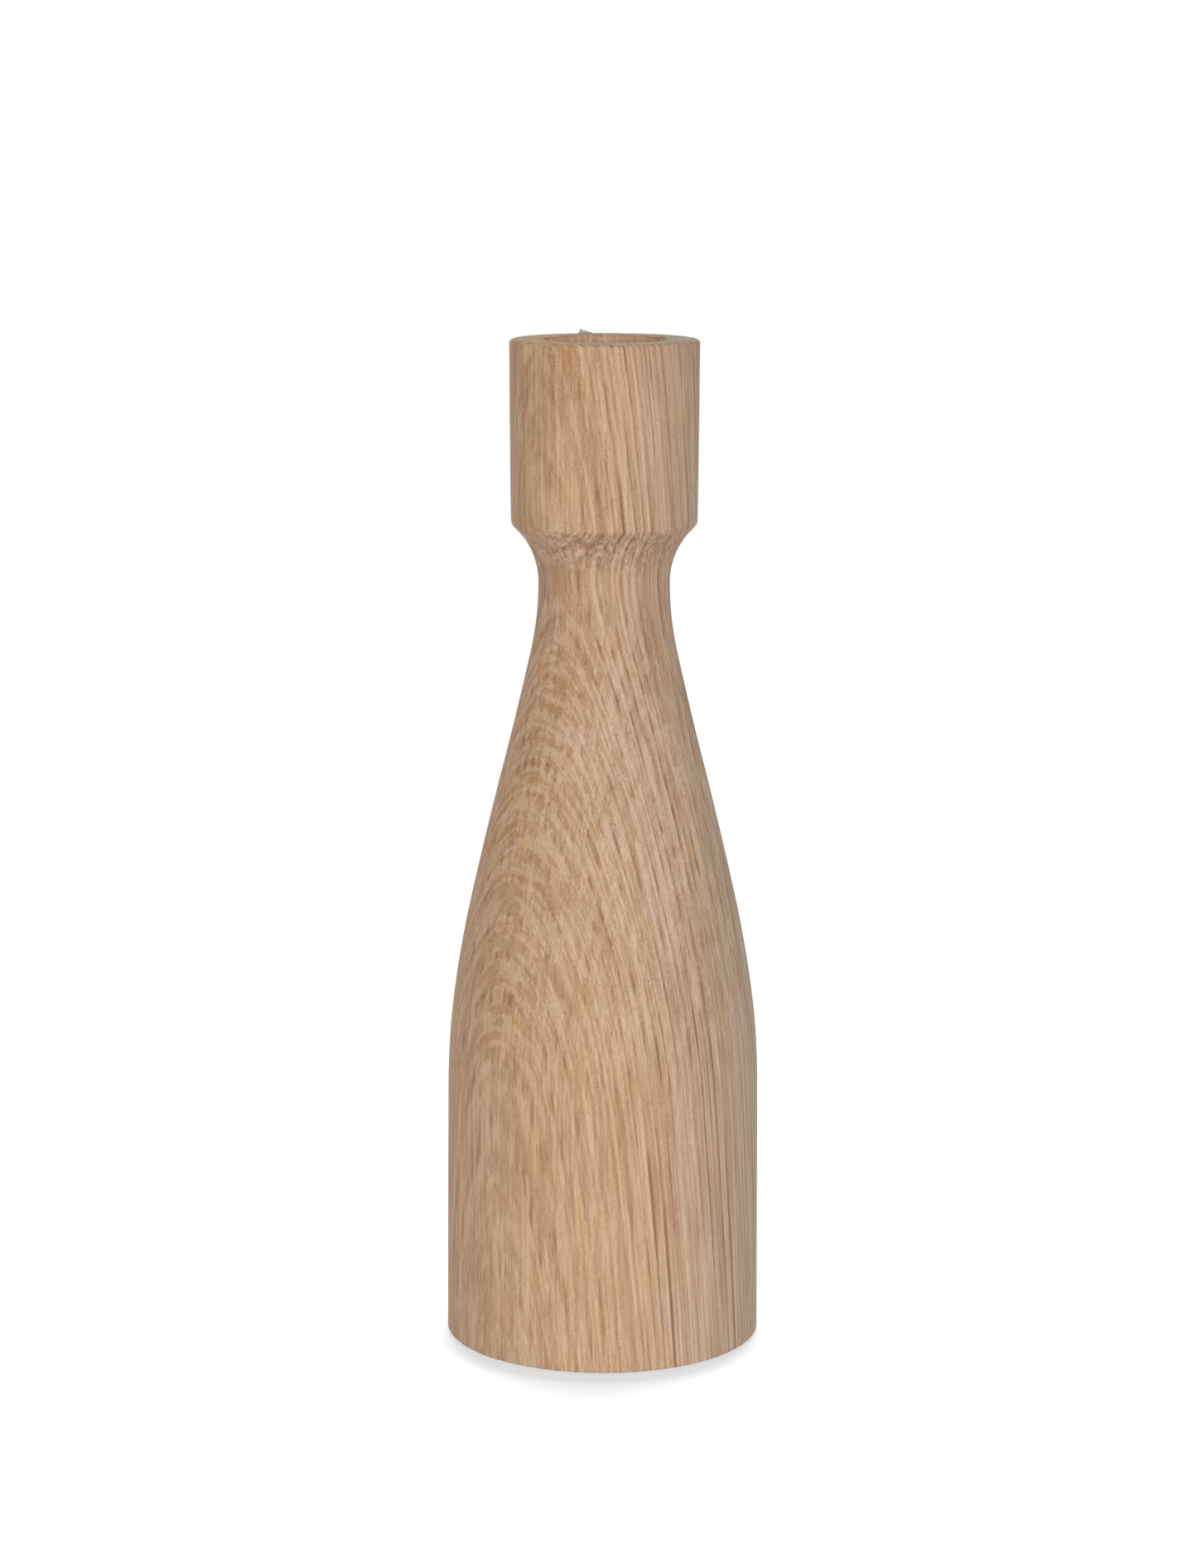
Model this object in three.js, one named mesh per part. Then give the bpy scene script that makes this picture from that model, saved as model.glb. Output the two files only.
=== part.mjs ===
// A turned oak candlestick for one standard 22 mm dinner candle.
//
// The wood is one solid turning: a cylindrical foot runs through a long shoulder into a cone, the cone
// into a narrow neck, and a cove above the neck opens out to a cylindrical head with the candle socket.
// A felt disc lies in a shallow recess under the foot, and the candlestick stands on it.
//
// Millimetres, +Z up. The origin is the centre of the felt's underside, on the table.

import * as THREE from "three";

// Driving dimensions. Heights are above the table, and angles are measured from the vertical.
const TOTAL_HEIGHT = 190;

const FOOT_RADIUS = 29.85; // at the very bottom of the wood
const FOOT_EDGE_ROUND = 0.5;
const SHOULDER_RADIUS = 29.55; // where the foot's wall stops and the shoulder starts
const SHOULDER_HEIGHT = 46.8;
const SHOULDER_CURVE = 167; // radius of the long convex arc above the foot
const CONE_ANGLE = THREE.MathUtils.degToRad(13.6);
const NECK_RADIUS = 12.3;
const NECK_CURVE_BELOW = 57; // radius of the concave arc between cone and neck
const COVE_CURVE = 14; // radius of the cove above the neck
const COVE_ANGLE = THREE.MathUtils.degToRad(43); // how far the cove leans out where it meets the head
const HEAD_CORNER_ROUND = 1.5;
const HEAD_RADIUS_LOW = 17.42;
const HEAD_RADIUS_HIGH = 17.65;
const RIM_ROUND = 0.75;

const SOCKET_RADIUS = 11.25; // 22.5 mm bore, a sliding fit on a 22 mm candle
const SOCKET_DEPTH = 25;
const SOCKET_MOUTH_ROUND = 0.25;
const DRILL_POINT_RADIUS = 1.5; // the drill's centre point leaves a small cone in the socket's floor
const DRILL_POINT_DEPTH = 1.2;

const FELT_THICKNESS = 1.5;
const FELT_PROUD = 0.3; // how far the felt stands below the wood
const FELT_CLEARANCE = 0.3; // between the felt's edge and the recess wall, and the glue above the felt
const RECESS_RADIUS = 25;
const LATHE_MARK_RADIUS = 2; // the lathe's drive centre leaves a small cone under the foot
const LATHE_MARK_DEPTH = 3;

const LATHE_SIDES = 64;
const CHORD_ERROR = 0.02; // furthest that a chord may stray from the arc it stands for

const { PI } = Math;
const point = (radius, height) => new THREE.Vector2(radius, height);

// Points along an arc, as few as CHORD_ERROR allows. Angles are counter-clockwise from straight out.
function arc(centre, curve, fromAngle, toAngle) {
  const largestStep = 2 * Math.acos(1 - CHORD_ERROR / curve);
  const sweep = toAngle - fromAngle;
  const steps = Math.ceil(Math.abs(sweep) / largestStep);
  return Array.from({ length: steps + 1 }, (_, step) => {
    const angle = fromAngle + (sweep * step) / steps;
    return point(centre.x + curve * Math.cos(angle), centre.y + curve * Math.sin(angle));
  });
}

// The point where a line leaves `start` at `lean` from the vertical and reaches `radius`.
function alongLean(start, lean, radius) {
  return point(radius, start.y + (radius - start.x) / Math.tan(lean));
}

// Underside of the foot, from the axis outwards: lathe mark, felt recess, standing ring.
function undersideOutline() {
  const recessTop = FELT_THICKNESS + FELT_CLEARANCE;
  return [
    point(0, recessTop + LATHE_MARK_DEPTH),
    point(LATHE_MARK_RADIUS, recessTop),
    point(RECESS_RADIUS, recessTop),
    point(RECESS_RADIUS, FELT_PROUD),
  ];
}

// Outside of the wood, from the foot's bottom edge up to the rim. Every stretch is tangent to the next
// one, so the heights of neck and head follow from the radii, the curves and the two angles.
function outsideOutline() {
  const footEdge = point(FOOT_RADIUS - FOOT_EDGE_ROUND, FELT_PROUD + FOOT_EDGE_ROUND);

  const shoulderCentre = point(SHOULDER_RADIUS - SHOULDER_CURVE, SHOULDER_HEIGHT);
  const shoulder = arc(shoulderCentre, SHOULDER_CURVE, 0, CONE_ANGLE);

  const coneTopRadius = NECK_RADIUS + NECK_CURVE_BELOW * (1 - Math.cos(CONE_ANGLE));
  const coneTop = alongLean(shoulder.at(-1), -CONE_ANGLE, coneTopRadius);
  const neckHeight = coneTop.y + NECK_CURVE_BELOW * Math.sin(CONE_ANGLE);
  const neckCentre = point(NECK_RADIUS + NECK_CURVE_BELOW, neckHeight);
  const neck = arc(neckCentre, NECK_CURVE_BELOW, PI + CONE_ANGLE, PI);

  const coveCentre = point(NECK_RADIUS + COVE_CURVE, neckHeight);
  const cove = arc(coveCentre, COVE_CURVE, PI, PI - COVE_ANGLE);

  const cornerStartRadius = HEAD_RADIUS_LOW - HEAD_CORNER_ROUND * (1 - Math.cos(COVE_ANGLE));
  const cornerStart = alongLean(cove.at(-1), COVE_ANGLE, cornerStartRadius);
  const cornerHeight = cornerStart.y + HEAD_CORNER_ROUND * Math.sin(COVE_ANGLE);
  const cornerCentre = point(HEAD_RADIUS_LOW - HEAD_CORNER_ROUND, cornerHeight);
  const corner = arc(cornerCentre, HEAD_CORNER_ROUND, -COVE_ANGLE, 0);

  const rimCentre = point(HEAD_RADIUS_HIGH - RIM_ROUND, TOTAL_HEIGHT - RIM_ROUND);
  return [
    ...arc(footEdge, FOOT_EDGE_ROUND, -PI / 2, 0),
    ...shoulder,
    ...neck,
    ...cove.slice(1), // the cove starts on the neck's last point
    ...corner,
    ...arc(rimCentre, RIM_ROUND, 0, PI / 2),
  ];
}

// The candle socket, from its mouth down the bore to the axis.
function socketOutline() {
  const mouthCentre = point(SOCKET_RADIUS + SOCKET_MOUTH_ROUND, TOTAL_HEIGHT - SOCKET_MOUTH_ROUND);
  const floorHeight = TOTAL_HEIGHT - SOCKET_DEPTH;
  return [
    ...arc(mouthCentre, SOCKET_MOUTH_ROUND, PI / 2, PI),
    point(SOCKET_RADIUS, floorHeight),
    point(DRILL_POINT_RADIUS, floorHeight),
    point(0, floorHeight - DRILL_POINT_DEPTH),
  ];
}

// A solid of revolution about +Z, from an outline that starts and ends on the axis.
function turned(name, outline, material) {
  const geometry = new THREE.LatheGeometry(outline, LATHE_SIDES);
  const mesh = new THREE.Mesh(geometry, material);
  mesh.name = name;
  mesh.rotation.x = PI / 2; // LatheGeometry turns about +Y
  return mesh;
}

function oakBody() {
  const rawOak = new THREE.MeshStandardMaterial({ color: 0xc69f78, roughness: 0.85, metalness: 0 });
  const outline = [...undersideOutline(), ...outsideOutline(), ...socketOutline()];
  return turned("oak_body", outline, rawOak);
}

function feltDisc() {
  const felt = new THREE.MeshStandardMaterial({ color: 0x35402f, roughness: 1, metalness: 0 });
  const radius = RECESS_RADIUS - FELT_CLEARANCE;
  const outline = [
    point(0, 0),
    point(radius, 0),
    point(radius, FELT_THICKNESS),
    point(0, FELT_THICKNESS),
  ];
  return turned("felt_disc", outline, felt);
}

const candlestick = new THREE.Group();
candlestick.name = "candlestick";
candlestick.add(oakBody(), feltDisc());

export default candlestick;
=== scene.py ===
"""The looks of a turned oak candlestick on a white studio floor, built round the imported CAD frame.

Lengths in this file are millimetres and angles are degrees. MM turns a length into Blender's metres.

The oak is a solid piece of timber: its growth rings, vessels and rays are worked out in the wood's own
directions, and each surface shows whatever the lathe happened to cut through. The same ring formula
gives the fine relief of the mesh and the colours of the material.
"""

import math

import bpy
import numpy as np
from mathutils import Matrix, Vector
from mathutils import noise as perlin


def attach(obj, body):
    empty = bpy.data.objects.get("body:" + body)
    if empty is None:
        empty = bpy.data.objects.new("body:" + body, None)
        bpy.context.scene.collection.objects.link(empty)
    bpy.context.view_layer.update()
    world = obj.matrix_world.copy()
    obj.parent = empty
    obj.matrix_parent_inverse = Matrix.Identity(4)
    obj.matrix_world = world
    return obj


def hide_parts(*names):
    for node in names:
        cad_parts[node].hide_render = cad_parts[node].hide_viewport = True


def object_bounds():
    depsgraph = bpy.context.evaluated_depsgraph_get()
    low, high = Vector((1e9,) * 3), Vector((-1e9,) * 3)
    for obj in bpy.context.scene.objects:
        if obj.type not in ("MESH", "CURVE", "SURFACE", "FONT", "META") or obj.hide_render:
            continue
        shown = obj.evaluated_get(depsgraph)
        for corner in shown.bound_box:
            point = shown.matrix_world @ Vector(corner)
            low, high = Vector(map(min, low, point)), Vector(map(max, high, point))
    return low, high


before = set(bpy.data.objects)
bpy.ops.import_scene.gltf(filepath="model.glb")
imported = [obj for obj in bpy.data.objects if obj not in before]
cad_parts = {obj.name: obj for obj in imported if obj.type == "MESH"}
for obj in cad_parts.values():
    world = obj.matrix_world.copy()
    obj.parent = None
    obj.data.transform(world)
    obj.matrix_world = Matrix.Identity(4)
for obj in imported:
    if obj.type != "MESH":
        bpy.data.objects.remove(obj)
cad_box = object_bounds()

MM = 0.001

# The timber. The rings are wide arcs about a pith far outside the wood, towards its front left.
PITH_AZIMUTH = 43  # from the front towards the left
PITH_DISTANCE = 206
FIBRE_LEAN = 0.1  # how far the fibres lean away from the pith for each millimetre upwards
FIBRE_BOW = 0.9  # and how far they bow at the two ends of the wood
MID_HEIGHT = 95
RING_WIDTH = 1.663

OAK_COLOUR = (0.555, 0.357, 0.226)
FELT_COLOUR = (0.036, 0.051, 0.028)


# ---------------------------------------------------------------------------------------------------
# Nodes: Python arithmetic that builds a material
# ---------------------------------------------------------------------------------------------------


class Value:
    """A number inside a material. Arithmetic on it adds Math nodes."""

    def __init__(self, tree, socket):
        self.tree = tree
        self.socket = socket

    def math(self, operation, *others):
        node = self.tree.nodes.new("ShaderNodeMath")
        node.operation = operation
        for item, socket in zip((self, *others), node.inputs):
            feed(self.tree, item, socket)
        return Value(self.tree, node.outputs[0])

    def __add__(self, other):
        return self.math("ADD", other)

    def __sub__(self, other):
        return self.math("SUBTRACT", other)

    def __mul__(self, other):
        return self.math("MULTIPLY", other)

    def __truediv__(self, other):
        return self.math("DIVIDE", other)

    def __pow__(self, power):
        return self.math("POWER", power)

    def __rsub__(self, other):
        return self * -1 + other

    def __abs__(self):
        return self.math("ABSOLUTE")

    __radd__ = __add__
    __rmul__ = __mul__

    def fraction(self):
        return self.math("FRACT")

    def step(self, low, high):
        """0 below low and 1 above high, with a smooth rise between them."""
        node = self.tree.nodes.new("ShaderNodeMapRange")
        node.interpolation_type = "SMOOTHSTEP"
        for item, name in ((self, "Value"), (low, "From Min"), (high, "From Max")):
            feed(self.tree, item, node.inputs[name])
        return Value(self.tree, node.outputs["Result"])


def feed(tree, item, socket):
    """Puts a number or a Value into a node's socket."""
    if isinstance(item, Value):
        tree.links.new(item.socket, socket)
    else:
        socket.default_value = item


def sine(angle):
    """The sine of a Value, or of numpy numbers."""
    return angle.math("SINE") if isinstance(angle, Value) else np.sin(angle)


class Paint:
    """One material, with the textures that its formulas start from."""

    def __init__(self, name):
        self.material = bpy.data.materials.new(name)
        self.material.use_nodes = True
        self.tree = self.material.node_tree
        self.shader = self.tree.nodes["Principled BSDF"]

    def add(self, kind):
        return self.tree.nodes.new(kind)

    def split(self, vector_socket):
        node = self.add("ShaderNodeSeparateXYZ")
        self.tree.links.new(vector_socket, node.inputs[0])
        return [Value(self.tree, socket) for socket in node.outputs]

    def place(self):
        """Where the surface is, in mm."""
        return [axis * (1 / MM) for axis in self.split(self.add("ShaderNodeTexCoord").outputs["Object"])]

    def facing(self):
        """Which way the surface faces, before any bump."""
        return self.split(self.add("ShaderNodeNewGeometry").outputs["Normal"])

    def vector(self, x, y, z):
        node = self.add("ShaderNodeCombineXYZ")
        for item, socket in zip((x, y, z), node.inputs):
            feed(self.tree, item, socket)
        return node.outputs[0]

    def noise(self, x, y, z, detail=1.0, roughness=0.5):
        """Smooth noise about 0 that mostly stays between -1 and 1, with features about one unit wide."""
        node = self.add("ShaderNodeTexNoise")
        self.tree.links.new(self.vector(x, y, z), node.inputs["Vector"])
        node.inputs["Scale"].default_value = 1
        node.inputs["Detail"].default_value = detail
        node.inputs["Roughness"].default_value = roughness
        return (Value(self.tree, node.outputs["Fac"]) - 0.5) * 4

    def cells(self, x, y, z):
        """Scattered cell centres, one in each unit: the distance to the nearest, and its random number."""
        node = self.add("ShaderNodeTexVoronoi")
        self.tree.links.new(self.vector(x, y, z), node.inputs["Vector"])
        node.inputs["Scale"].default_value = 1
        chance = self.split(node.outputs["Color"])[0]
        return Value(self.tree, node.outputs["Distance"]), chance

    def colour(self, channels):
        node = self.add("ShaderNodeCombineColor")
        for item, socket in zip(channels, node.inputs):
            feed(self.tree, item, socket)
        self.tree.links.new(node.outputs[0], self.shader.inputs["Base Color"])

    def roughness(self, value):
        feed(self.tree, value, self.shader.inputs["Roughness"])

    def bump(self, height_mm):
        node = self.add("ShaderNodeBump")
        node.inputs["Strength"].default_value = 1
        node.inputs["Distance"].default_value = MM
        feed(self.tree, height_mm, node.inputs["Height"])
        self.tree.links.new(node.outputs[0], self.shader.inputs["Normal"])


# ---------------------------------------------------------------------------------------------------
# Timber: the wood's own directions, which the mesh and the material share
# ---------------------------------------------------------------------------------------------------


def timber(x, y, z):
    """Where a point lies in the timber: (depth towards the pith, distance sideways along a ring)."""
    turn = math.radians(PITH_AZIMUTH)
    to_pith = (-math.sin(turn), -math.cos(turn))
    along_ring = (math.cos(turn), -math.sin(turn))
    rise = z - MID_HEIGHT
    bow = (rise * (1 / MID_HEIGHT)) ** 2 * FIBRE_BOW
    inward = x * to_pith[0] + y * to_pith[1] - rise * FIBRE_LEAN - bow
    sideways = x * along_ring[0] + y * along_ring[1]
    depth = PITH_DISTANCE - ((inward - PITH_DISTANCE) ** 2 + sideways**2) ** 0.5
    return depth, sideways


def year(depth):
    """Counts the growth rings: a dark line of spring vessels lies at each whole number."""
    widening = depth**2 * -0.0017
    wobble = sine(depth * 0.206 + 4.196) * 0.144 + sine(depth * 1.3065 + 0.58) * 0.107
    return depth * (1 / RING_WIDTH) + widening + wobble + 0.447


# ---------------------------------------------------------------------------------------------------
# Meshes: a CAD outline, made fine and turned about the axis with relief
# ---------------------------------------------------------------------------------------------------

SHARP_TURN = 25  # an outline corner that turns further than this is a sharp one
CORNER_SOFTNESS = 0.25


def cad_outline(node):
    """The (radius, height) points of a turned CAD node's outline, from the bottom of the axis up."""
    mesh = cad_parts[node].data
    spots = [tuple(round(c / MM, 3) for c in vertex.co) for vertex in mesh.vertices]
    next_to = {}
    for edge in mesh.edges:
        ends = [spots[i] for i in edge.vertices]
        if all(y == 0 and x >= 0 for x, y, _ in ends):
            (x0, _, z0), (x1, _, z1) = ends
            next_to.setdefault((x0, z0), set()).add((x1, z1))
            next_to.setdefault((x1, z1), set()).add((x0, z0))
    outline = [min(p for p in next_to if p[0] == 0)]
    while len(outline) == 1 or outline[-1][0] > 0:
        outline += next_to[outline[-1]] - set(outline[-2:])
    return np.array(outline)


def softened(outline):
    """The outline with each sharp corner cut back to three points close round it."""
    points = [outline[0]]
    for before, here, after in zip(outline, outline[1:], outline[2:]):
        arriving, leaving = here - before, after - here
        reach = np.array([np.hypot(*arriving), np.hypot(*leaving)])
        turn = math.degrees(math.acos(np.clip(arriving @ leaving / reach.prod(), -1, 1)))
        if turn < SHARP_TURN:
            points.append(here)
            continue
        soft = min(CORNER_SOFTNESS, reach.min() / 3)
        start = here - arriving / reach[0] * soft
        end = here + leaving / reach[1] * soft
        points += [start, here * 0.6 + (start + end) * 0.2, end]
    points.append(outline[-1])
    return np.array(points)


def refined(outline, spacing):
    """A smooth curve through the outline's points, with rows about spacing(radius, height) apart."""
    toward = np.gradient(outline, axis=0)
    toward[1:-1] = outline[2:] - outline[:-2]
    toward /= np.linalg.norm(toward, axis=1)[:, None]
    rows = [outline[:1]]
    for start, end, leaving, arriving in zip(outline, outline[1:], toward, toward[1:]):
        length = np.hypot(*(end - start))
        count = max(2, math.ceil(length / spacing(*((start + end) / 2))))
        t = (np.arange(1, count + 1) / count)[:, None]
        bend = t * (t - 1) * length * (leaving * (t - 1) + arriving * t)
        rows.append(start + (end - start) * t * t * (3 - 2 * t) + bend)
    return np.concatenate(rows)


def turned_piece(name, outline, sides, relief, material):
    """Turns an outline about Z. relief(x, y, z) is how far, in mm, each point then moves outwards."""
    direction = np.gradient(outline, axis=0)
    direction /= np.linalg.norm(direction, axis=1)[:, None]
    angle = np.arange(sides) * 2 * math.pi / sides
    cosines, sines = np.cos(angle), np.sin(angle)

    def around(radial, axial):
        radial, axial = radial[:, None], axial[:, None]
        return np.stack([radial * cosines, radial * sines, axial + 0 * cosines], -1)

    rings = slice(1, -1)
    points = around(outline[rings, 0], outline[rings, 1]).reshape(-1, 3)
    outwards = around(direction[rings, 1], -direction[rings, 0]).reshape(-1, 3)
    points += outwards * relief(*points.T)[:, None]
    ends = [(0, 0, outline[0, 1]), (0, 0, outline[-1, 1])]

    count = len(outline) - 2
    ring = np.arange(count * sides).reshape(count, sides)
    ahead = np.roll(ring, -1, axis=1)
    quads = np.stack([ring[:-1], ahead[:-1], ahead[1:], ring[1:]], -1).reshape(-1, 4)
    first, last = len(points), len(points) + 1
    bottom = [(first, b, a) for a, b in zip(ring[0].tolist(), ahead[0].tolist())]
    top = [(a, b, last) for a, b in zip(ring[-1].tolist(), ahead[-1].tolist())]

    mesh = bpy.data.meshes.new(name)
    vertices = np.concatenate([points, ends]) * MM
    mesh.from_pydata(vertices.tolist(), [], [*bottom, *quads.tolist(), *top])
    mesh.shade_smooth()
    mesh.materials.append(material)
    piece = bpy.data.objects.new(name, mesh)
    bpy.context.scene.collection.objects.link(piece)
    return piece


def roughly(x, y, z, size):
    """Perlin noise from about -1 to 1 at each point, with features about size mm wide."""
    places = np.stack([x, y, z], -1) / size
    return np.array([perlin.noise(place) for place in places.tolist()])


def smooth_step(value, low, high):
    t = np.clip((value - low) / (high - low), 0, 1)
    return t * t * (3 - 2 * t)


def between(value, low, high, edge):
    """1 inside a range and 0 outside it, over a soft edge."""
    return smooth_step(value, low, low + edge) * (1 - smooth_step(value, high - edge, high))


# ---------------------------------------------------------------------------------------------------
# Oak: the turned surface
# ---------------------------------------------------------------------------------------------------

OAK_SIDES = 360
TOP = cad_box[1].z / MM
AXIS_CLEARANCE = 12  # the socket is nearer to the axis than this, and the turned outside further away
SOCKET_WALL = 11.6  # just outside the radius of the socket

# How far apart the mesh's rows lie.
RIM_ROWS = 0.35
COVE_ROWS = 0.45
OUTER_ROWS = 1.4
SOCKET_ROWS = 3

COVE_BOTTOM = 149
COVE_TOP = 159

# The hand-held tool left slow waves on the cone, and one is deepest at this height.
WAVE_HOLLOW = 78
WAVE_LENGTH = 42
WAVE_DEPTH = 0.16

# A splinter lies on the back of the rim. It is highest at its left end.
SPLINTER_LEFT = -5
SPLINTER_RIGHT = -1.4
SPLINTER_BACK = 14.6
SPLINTER_HEIGHT = 0.9
SPLINTER_HALF_WIDTH = 0.35

# The drill tore the grain at the right of the rim.
SNAG_PLACE = (11.5, 4.2)
SNAG_REACH = 1.2
SNAG_HEIGHT = 1.2


def oak_spacing(radius, height):
    if height > TOP - 1:
        return RIM_ROWS
    if radius < AXIS_CLEARANCE:
        return SOCKET_ROWS
    return COVE_ROWS if COVE_BOTTOM < height < COVE_TOP else OUTER_ROWS


def snag(x, y):
    """1 at the middle of the torn grain on the rim, and 0 away from it."""
    away = ((x - SNAG_PLACE[0]) ** 2 + (y - SNAG_PLACE[1]) ** 2) * (1 / SNAG_REACH**2)
    return (away * 0.25 + 1) ** -4


def loose_fibres(x, y, z):
    """How far the splinter and the snag's fibres stand up from the rim."""
    slant = x * 0.15
    ridge = np.exp(-(((y - SPLINTER_BACK + slant) / SPLINTER_HALF_WIDTH) ** 2))
    tip = smooth_step(x, SPLINTER_LEFT, SPLINTER_LEFT + 0.4)
    tail = 1 - smooth_step(x, SPLINTER_LEFT, SPLINTER_RIGHT)
    tufts = np.maximum(roughly(x, y * 0.3, z, 0.7) - 0.05, 0)
    standing = ridge * tip * tail * SPLINTER_HEIGHT + snag(x, y) * tufts * SNAG_HEIGHT
    return standing * (z > TOP - 0.2)


def worn_edges(x, y, z):
    """Dents in the edges of the rim and the foot, and the rim's fray."""
    rim_edge = smooth_step(z, TOP - 1.5, TOP - 0.2)
    foot_edge = 1 - smooth_step(z, 0.4, 1.2)
    dents = np.minimum(roughly(x, y, z, 2.6) + 0.25, 0) * 0.1 * (rim_edge + foot_edge)
    fray = np.minimum(roughly(x, y, z, 0.7), 0) * 0.05 * smooth_step(z, TOP - 0.4, TOP - 0.1)
    return dents + fray


def oak_relief(x, y, z):
    """What the tool and the grain left on the turned surface. Only the rim's loose fibres go outwards."""
    depth, _ = timber(x, y, z)
    rings = (np.cos(year(depth) * 2 * math.pi) - 1) * 0.008
    wave = (np.cos((z - WAVE_HOLLOW) / WAVE_LENGTH * 2 * math.pi) + 1) * WAVE_DEPTH / -2
    waves = wave * between(z, 55, 150, 12)
    torn = (roughly(x, y, z, 0.9) * 0.05 - 0.05) * between(z, COVE_BOTTOM + 0.5, COVE_TOP - 0.5, 2)
    outside = (np.hypot(x, y) > AXIS_CLEARANCE) * (1 - smooth_step(z, TOP - 1.2, TOP - 0.6))
    return (rings + waves + torn) * outside + worn_edges(x, y, z) + loose_fibres(x, y, z)


# ---------------------------------------------------------------------------------------------------
# Oak: the material
# ---------------------------------------------------------------------------------------------------


class Cut:
    """Where each spot of the oak's surface lies in the timber, and how the surface cuts the grain there."""

    def __init__(self, wood):
        self.x, self.y, self.z = wood.place()
        depth, self.sideways = timber(self.x, self.y, self.z)
        # The rings and rays are a little uneven along their length.
        self.depth = depth + wood.noise(depth / 7, self.sideways / 9, self.z / 34) * 0.12

        # flat is how squarely the surface faces the pith, where the lathe cuts the rings open flat.
        turn = math.radians(PITH_AZIMUTH)
        facing_x, facing_y, facing_up = wood.facing()
        self.flat = abs(facing_x * math.sin(turn) + facing_y * math.cos(turn))
        self.front = (facing_y * -1).step(0.6, 1)
        self.slope = abs(facing_up).step(0.02, 0.2)
        self.end_grain = abs(facing_up).step(0.3, 0.75)
        self.undercut = (facing_up * -1).step(0.1, 0.5)

        self.rim = self.z.step(TOP - 0.5, TOP - 0.1) * self.end_grain
        outside = ((self.x**2 + self.y**2) ** 0.5).step(SOCKET_WALL, SOCKET_WALL + 0.3)
        walls = (1 - outside) * self.z.step(TOP / 2, TOP / 2 + 1)
        self.bored = walls * (1 - self.end_grain) * (1 - self.z.step(TOP - 0.4, TOP - 0.2))
        self.loose = self.z.step(TOP + 0.1, TOP + 0.4)


def vessel_darkness(wood, cut):
    """How much the open vessels of the spring wood, and the wood just under them, darken the surface."""
    depth, sideways, z, flat = cut.depth, cut.sideways, cut.z, cut.flat
    phase = (year(depth) + 0.5).fraction() - 0.5
    line = 1 - abs(phase - 0.01).step(0.05 + flat * 0.03, 0.14 + flat * 0.05)
    spring = phase.step(-0.4, -0.02) * (1 - phase.step(0.05, 0.16))

    # Between the rays the vessels stand in strips that run towards the pith. Cut open flat, each strip
    # is a row of short dashes.
    sway = wood.noise(depth / 6, sideways / 5, z / 30) * 0.35
    strip = 1 - abs((sideways / 1.9 + sway).fraction() - 0.5).step(0.12, 0.34)
    distance, _ = wood.cells(depth / 0.6, sideways / 0.6, z / 34)
    dashes = strip * (1 - distance.step(0.25, 0.65) * 0.6)
    dashed = flat.step(0.5, 0.95)
    strength = sine((depth - 2.7) * (2 * math.pi / 13.9) + math.pi / 2) * 0.25 + 0.75
    patchy = wood.noise(depth / 2, sideways / 1.8, z / 26, detail=2).step(-0.9, 0.9) * 1.5
    gap = 0.75 - flat * 0.35
    crowd = strength * patchy * (dashes * dashed + (strip * gap + 1 - gap) * (1 - dashed))

    # A few vessels lie on their own between the rings.
    lone_distance, chance = wood.cells(depth / 0.36, sideways / 1.4, z / 24)
    lone = (1 - lone_distance.step(0.08, 0.4)) * chance.step(0.35, 0.7) * (0.3 - flat * 0.12)

    # The vessels are most open at the neck, and least in the head.
    opened = 1 + z.step(120, 140) * 0.3 - z.step(148, 165) * 0.55
    return (line * crowd * (0.7 - flat * 0.3) + spring * crowd * 0.22 + lone) * opened


def golden_sheets(wood, cut):
    """Thin golden sheets that lie in the rings, and show as arcs where the cone cuts them flat."""
    count = cut.depth / 2.59 + sine(cut.depth * 0.24 - 2.39) * 0.3 - 3.06
    across = abs((count + 0.5).fraction() - 0.5)
    band = 1 - across.step(0.05, 0.07)
    edge = band * across.step(0.025, 0.05)
    patches = wood.noise(cut.depth / 3, cut.sideways / 5, cut.z / 12).step(-0.7, 0.2)
    return (band * 0.4 + edge * 0.6) * patches * cut.flat.step(0.8, 0.95) * cut.slope


def streaks_and_painted_shade(wood, cut, fibre):
    """The pale and dark streaks of the grain, about 1, less some painted shade that darkens the wood
    upwards.
    """
    depth, sideways, z, flat = cut.depth, cut.sideways, cut.z, cut.flat

    # Pale slivers, where the layers of a ring and the rays that cross them are both pale.
    layers = wood.noise(depth / 0.45, sideways / 5, z / 60) * (1 - flat * (1 - cut.slope) * 0.5)
    rays = wood.noise(depth / 6, sideways / 0.5, z / 24) * (flat * 0.4 + 0.15)
    slivers = (layers + rays).step(-0.25, 0.3) - 0.5
    tongues = wood.noise(depth / 1.1, sideways / 1.7, z / 26, detail=3, roughness=0.6)
    pale = tongues.step(-0.3, 0.45) - 0.5
    thin_layers = wood.noise(depth / 0.2, sideways / 3, z / 50) * (1 - flat)
    broad = wood.noise(depth / 4, sideways / 5, z / 30, detail=2)
    # Painted shade: the wood darkens steadily upwards, as if the light fell off towards the head.
    painted_shade_upwards = (z - 25) * 0.0007
    streak = 1.06 + slivers * 0.28 + pale * 0.14 + thin_layers * 0.1 + fibre * 0.18 + broad * 0.06
    return streak - painted_shade_upwards


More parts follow.
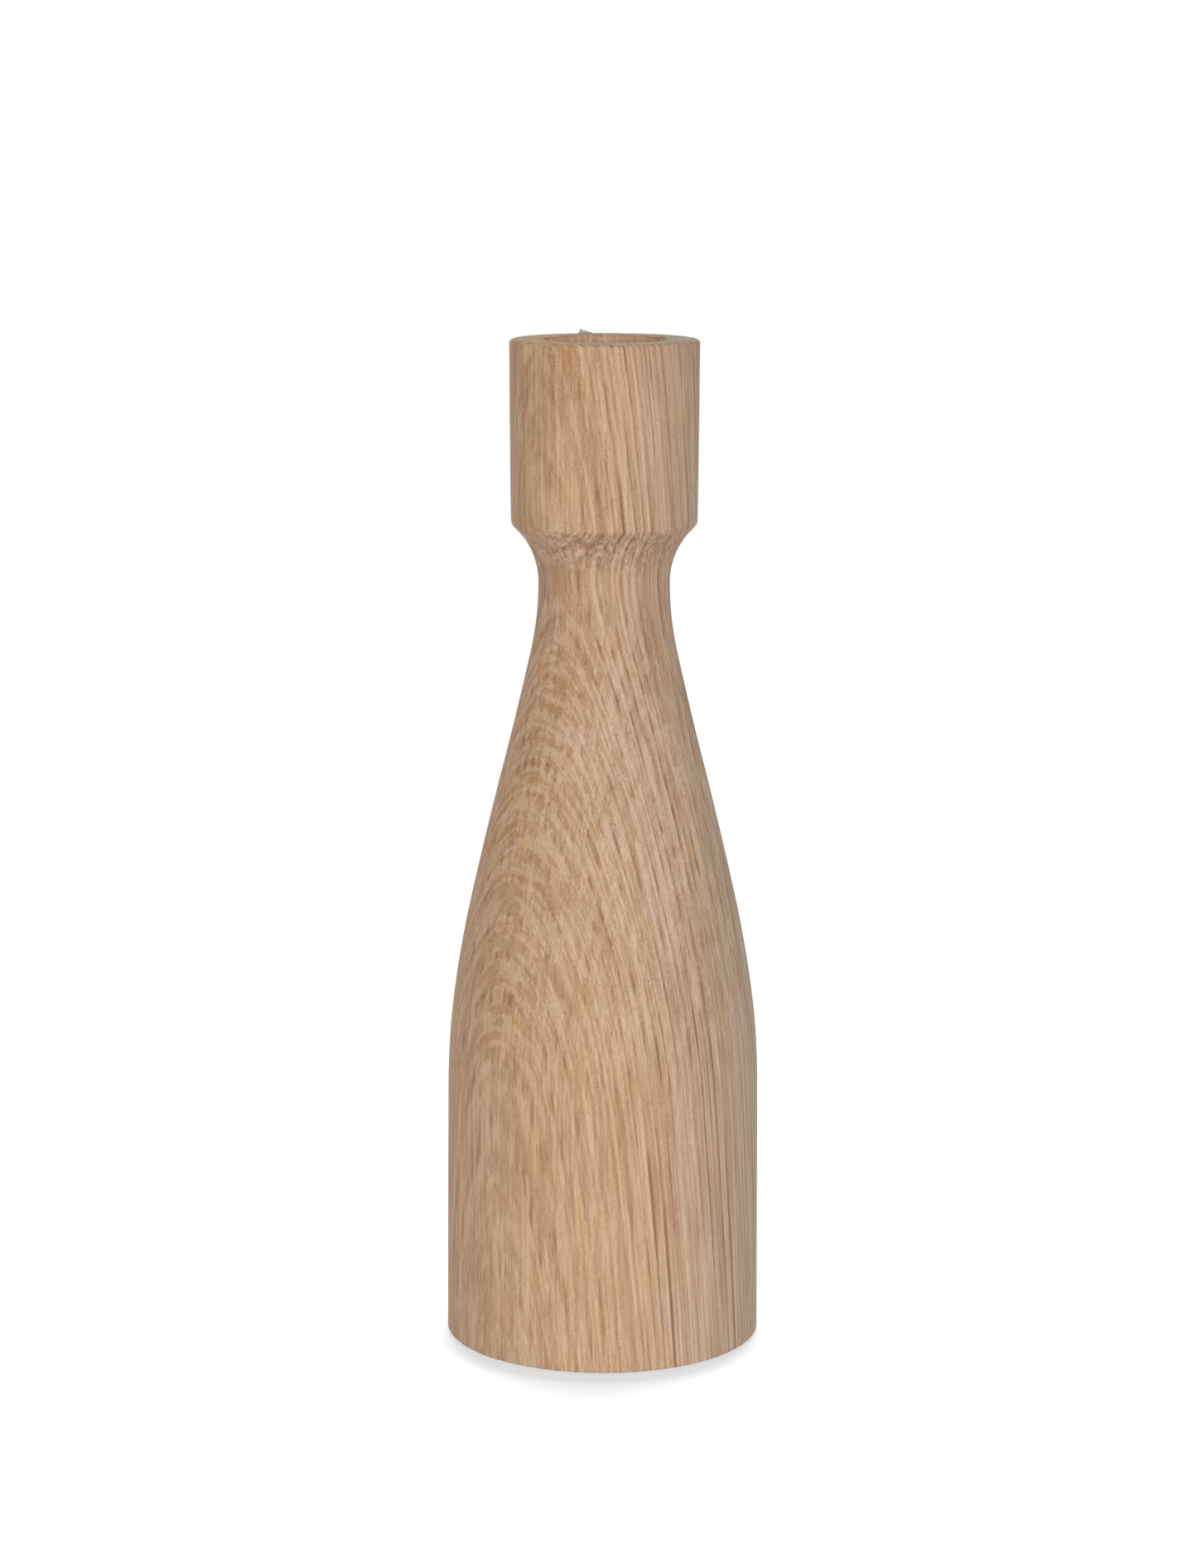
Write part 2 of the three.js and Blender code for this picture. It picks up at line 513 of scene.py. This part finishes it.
class WearAndGlints:
    """The raw surface's fuzz, pits, pores, torn grain and scratches, and painted glints."""

    def __init__(self, wood, cut):
        x, y, z, depth, sideways = cut.x, cut.y, cut.z, cut.depth, cut.sideways
        rough = wood.noise(depth / 3, sideways / 3, z / 12).step(-0.6, 0.6)
        self.fuzz = wood.noise(x / 0.18, y / 0.18, z / 0.22) * (rough * 0.7 + 0.5)
        pit_distance, pit_chance = wood.cells(x / 0.7, y / 0.7, z / 0.7)
        self.pits = (1 - pit_distance.step(0.12, 0.24)) * pit_chance.step(0.5, 0.9) * rough
        # Painted highlights: pale specks in the colour that stand in for glints of light.
        self.painted_glints = (1 - pit_distance.step(0.1, 0.3)) * pit_chance.step(0.6, 0.8)
        pore_distance, pore_chance = wood.cells(depth / 0.4, sideways / 0.4, z / 3.5)
        pores = (1 - pore_distance.step(0.12, 0.42)) * pore_chance.step(0.45, 0.65)
        self.pores = pores * (cut.end_grain * 0.3 + 0.7)
        tears = wood.noise(depth / 0.4, sideways / 0.8, z / 1.4, detail=2)
        self.torn = (tears.step(-0.1, 0.35) - 0.35) * cut.undercut
        bands = wood.noise(x / 6, y / 6, z / 9).step(-0.2, 0.8)
        self.scratches = wood.noise(x / 7, y / 7, z / 0.16) * bands


def bored_and_rim(wood, cut, wear_and_glints, value):
    """The value with the drill's smooth brown wall, painted lighter towards its mouth and with painted
    glints, and with the tears and the grey fibres of the rim.
    """
    x, y, z = cut.x, cut.y, cut.z
    mottle = wood.noise(x / 0.7, y / 0.7, z / 1.3, detail=2)
    # Painted highlights: the pale glints near the socket's mouth.
    painted_glints = wear_and_glints.painted_glints * z.step(TOP - 3, TOP - 1)
    # Painted light: the drilled wall is made lighter over its top few millimetres, where light reaches into
    # the socket.
    painted_mouth_light = z.step(TOP - 2.5, TOP - 0.3) * 0.35
    wall = 0.47 + mottle * 0.25 + painted_mouth_light + painted_glints * 0.5
    value = value * (1 - cut.bored * 0.55) + cut.bored * wall
    tears = wood.noise(x / 0.45, y / 3, z / 2).step(0, 0.4) * 1.3 - 0.3
    return value * (1 + cut.rim * 0.08) * (1 - tears * snag(x, y) * cut.rim) * (1 + cut.loose * 0.6)


def oak_tints(wood, cut):
    """What red, green and blue are multiplied by: patches in the grain, drifts across the timber, a painted
    sheen on the front of the cone and painted bounce light in the socket.
    """
    depth, sideways, z = cut.depth, cut.sideways, cut.z
    amber = wood.noise(depth / 1.3, sideways / 1.6, z / 28, detail=2).step(0, 0.9)
    mauve = wood.noise(depth / 1.6, sideways / 2.5, z / 18).step(0, 0.9)
    # Painted sheen: the front of the cone, which faces the key light, is made paler and less saturated.
    painted_front_sheen = cut.front * z.step(50, 80) * (1 - z.step(115, 140))

    # Tinted golden towards the pith, at the front left, and greyer away from it.
    across = depth + (z - MID_HEIGHT) * FIBRE_LEAN
    honey = across.step(4, 20)
    grey = 1 - across.step(-18, 12) * (1 - cut.undercut * 0.5)
    # cut.bored makes the drilled wall warmer and more orange, here and below: painted bounce light from the
    # wood around it.
    red = 1 - grey * (0.13 - cut.undercut * 0.08) - cut.rim * 0.11 + cut.bored * 0.1 - cut.loose * 0.03
    green = 1 - amber * 0.07 - mauve * 0.03 - honey * 0.04 - grey * 0.02 + painted_front_sheen * 0.04
    blue = 1 - amber * 0.19 + mauve * 0.04 - honey * 0.13 + grey * 0.03 + painted_front_sheen * 0.08
    green = green - cut.bored * 0.04 - cut.rim * 0.02
    blue = blue - cut.bored * 0.16 - cut.rim * 0.02 + cut.loose * 0.15
    return red, green, blue


def oak_material():
    wood = Paint("raw_oak")
    cut = Cut(wood)
    dark = vessel_darkness(wood, cut)
    gold = golden_sheets(wood, cut)
    fibre = wood.noise(cut.depth / 0.25, cut.sideways / 0.25, cut.z / 8, detail=2, roughness=0.6)
    wear_and_glints = WearAndGlints(wood, cut)

    value = streaks_and_painted_shade(wood, cut, fibre) + wear_and_glints.fuzz * 0.21 + wear_and_glints.scratches * 0.07
    value = value / (1 + dark * 1.2)
    value = value * (1 - wear_and_glints.pits * 0.35) * (1 - wear_and_glints.pores * 0.28) * (1 - wear_and_glints.torn * 0.34)
    value = bored_and_rim(wood, cut, wear_and_glints, value)

    # Darker wood is redder, so each colour follows the value with a power of its own.
    powers = (0.7, 1.03, 1.4)
    gilding = (0.14, 0.3, 0.5)
    channels = zip(OAK_COLOUR, powers, oak_tints(wood, cut), gilding)
    wood.colour([value**power * base * tint * (1 - gold * loss) for base, power, tint, loss in channels])
    wood.roughness(0.66 + fibre * 0.05 - cut.bored * 0.15 + cut.rim * 0.3)
    raised = fibre * 0.01 + wear_and_glints.fuzz * 0.008 + wear_and_glints.scratches * 0.01
    sunk = dark * 0.06 + wear_and_glints.pits * 0.03 + wear_and_glints.pores * 0.02 + wear_and_glints.torn * 0.06
    wood.bump(raised - sunk)
    return wood.material


# ---------------------------------------------------------------------------------------------------
# Oak body
# ---------------------------------------------------------------------------------------------------


def oak_body():
    outline = refined(softened(cad_outline("oak_body")), oak_spacing)
    body = turned_piece("turned_oak_body", outline, OAK_SIDES, oak_relief, oak_material())
    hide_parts("oak_body")
    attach(body, "root")
    return body


# ---------------------------------------------------------------------------------------------------
# Felt disc
# ---------------------------------------------------------------------------------------------------

FELT_SIDES = 240


def felt_spacing(radius, height):
    return 0.6


def felt_relief(x, y, z):
    """The pressed fibres' slight lumps, all of them inwards."""
    return roughly(x, y, z, 1.4) * 0.03 - 0.03


def felt_material():
    felt = Paint("pressed_felt")
    x, y, z = felt.place()
    bend = felt.noise(x / 3, y / 3, z / 3, detail=2)
    strands = felt.noise(x / 0.12 + bend * 3, y / 0.9, z / 0.3, detail=2)
    crossing = felt.noise(x / 0.9, y / 0.12 + bend * 3, z / 0.3, detail=2)
    lumps = felt.noise(x / 4, y / 4, z / 4, detail=2)
    value = 1 + strands * 0.3 + crossing * 0.3 + lumps * 0.15
    felt.colour([value * base for base in FELT_COLOUR])
    felt.roughness(0.95)
    felt.shader.inputs["Sheen Weight"].default_value = 0.35
    felt.shader.inputs["Sheen Roughness"].default_value = 0.5
    felt.bump(strands * 0.04 + crossing * 0.04 + lumps * 0.05)
    return felt.material


def felt_disc():
    outline = refined(softened(cad_outline("felt_disc")), felt_spacing)
    disc = turned_piece("felt_base_disc", outline, FELT_SIDES, felt_relief, felt_material())
    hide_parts("felt_disc")
    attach(disc, "root")
    return disc


# ---------------------------------------------------------------------------------------------------
# Studio
# ---------------------------------------------------------------------------------------------------

LENS = 88.9  # on a 36 mm sensor
CAMERA_DISTANCE = 718.8
CAMERA_HEIGHT = 237
CAMERA_SIDE = -0.96
CAMERA_PITCH = 10.3
CAMERA_ROLL = 0.13

AMBIENT = 0.47  # light from all round, as a share of what a white room gives
FLOOR_REACH = 1.2  # metres from the middle to each side
FLOOR_GREY = 0.25
FLOOR_GLOW = 0.62


def camera():
    data = bpy.data.cameras.new("camera")
    data.lens = LENS
    data.sensor_width = 36
    eye = bpy.data.objects.new("camera", data)
    pitch = Matrix.Rotation(math.radians(90 - CAMERA_PITCH), 4, "X")
    roll = Matrix.Rotation(math.radians(CAMERA_ROLL), 4, "Z")
    place = Matrix.Translation((CAMERA_SIDE * MM, -CAMERA_DISTANCE * MM, CAMERA_HEIGHT * MM))
    eye.matrix_world = place @ pitch @ roll
    bpy.context.scene.collection.objects.link(eye)
    bpy.context.scene.camera = eye


def soft_light(name, lit, azimuth, elevation, share, distance=1.2, size=0.8):
    """A square light on the lit collection only, with its distance and size in metres. share is how
    brightly it lights a surface that faces it, next to a white room."""
    data = bpy.data.lights.new(name, "AREA")
    data.size = size
    data.energy = share * math.pi**2 * distance**2
    lamp = bpy.data.objects.new(name, data)
    a, e = math.radians(azimuth), math.radians(elevation)
    aim = Matrix.Rotation(a, 4, "Z") @ Matrix.Rotation(math.radians(90) - e, 4, "X")
    target = (cad_box[0] + cad_box[1]) / 2
    lamp.matrix_world = Matrix.Translation(target) @ aim @ Matrix.Translation((0, 0, distance))
    lamp.light_linking.receiver_collection = lit
    bpy.context.scene.collection.objects.link(lamp)


def surroundings():
    """A white backdrop for the camera, and a dimmer even light for the object."""
    world = bpy.data.worlds.new("studio")
    world.use_nodes = True
    bpy.context.scene.world = world
    tree = world.node_tree
    seen = tree.nodes["Background"]
    seen.inputs["Color"].default_value = (1, 1, 1, 1)
    seen.inputs["Strength"].default_value = 1
    lighting = tree.nodes.new("ShaderNodeBackground")
    lighting.inputs["Color"].default_value = (1, 1, 1, 1)
    lighting.inputs["Strength"].default_value = AMBIENT
    path = tree.nodes.new("ShaderNodeLightPath")
    mix = tree.nodes.new("ShaderNodeMixShader")
    tree.links.new(path.outputs["Is Camera Ray"], mix.inputs[0])
    tree.links.new(lighting.outputs[0], mix.inputs[1])
    tree.links.new(seen.outputs[0], mix.inputs[2])
    tree.links.new(mix.outputs[0], tree.nodes["World Output"].inputs["Surface"])


def floor():
    """A pale light table: it glows enough that all but the shadow at the foot burns out to white."""
    sides = ((-1, -1), (1, -1), (1, 1), (-1, 1))
    corners = [(x * FLOOR_REACH, y * FLOOR_REACH, 0) for x, y in sides]
    mesh = bpy.data.meshes.new("floor")
    mesh.from_pydata(corners, [], [(0, 1, 2, 3)])
    paper = Paint("white_paper")
    paper.shader.inputs["Base Color"].default_value = (FLOOR_GREY, FLOOR_GREY, FLOOR_GREY, 1)
    paper.shader.inputs["Emission Color"].default_value = (1, 1, 1, 1)
    paper.shader.inputs["Emission Strength"].default_value = FLOOR_GLOW
    paper.shader.inputs["Roughness"].default_value = 1
    paper.shader.inputs["Specular IOR Level"].default_value = 0
    mesh.materials.append(paper.material)
    plane = bpy.data.objects.new("floor", mesh)
    plane.visible_diffuse = False
    bpy.context.scene.collection.objects.link(plane)
    return plane


def studio(pieces):
    surroundings()
    paper = bpy.data.collections.new("paper")
    paper.objects.link(floor())
    candlestick = bpy.data.collections.new("candlestick")
    for piece in pieces:
        candlestick.objects.link(piece)
    soft_light("key", candlestick, azimuth=5, elevation=12, share=0.62)
    soft_light("back", candlestick, azimuth=190, elevation=25, share=0.5)
    soft_light("overhead", paper, azimuth=176, elevation=83, share=2, distance=3, size=0.35)
    bpy.context.scene.view_settings.view_transform = "Standard"


camera()
studio([oak_body(), felt_disc()])
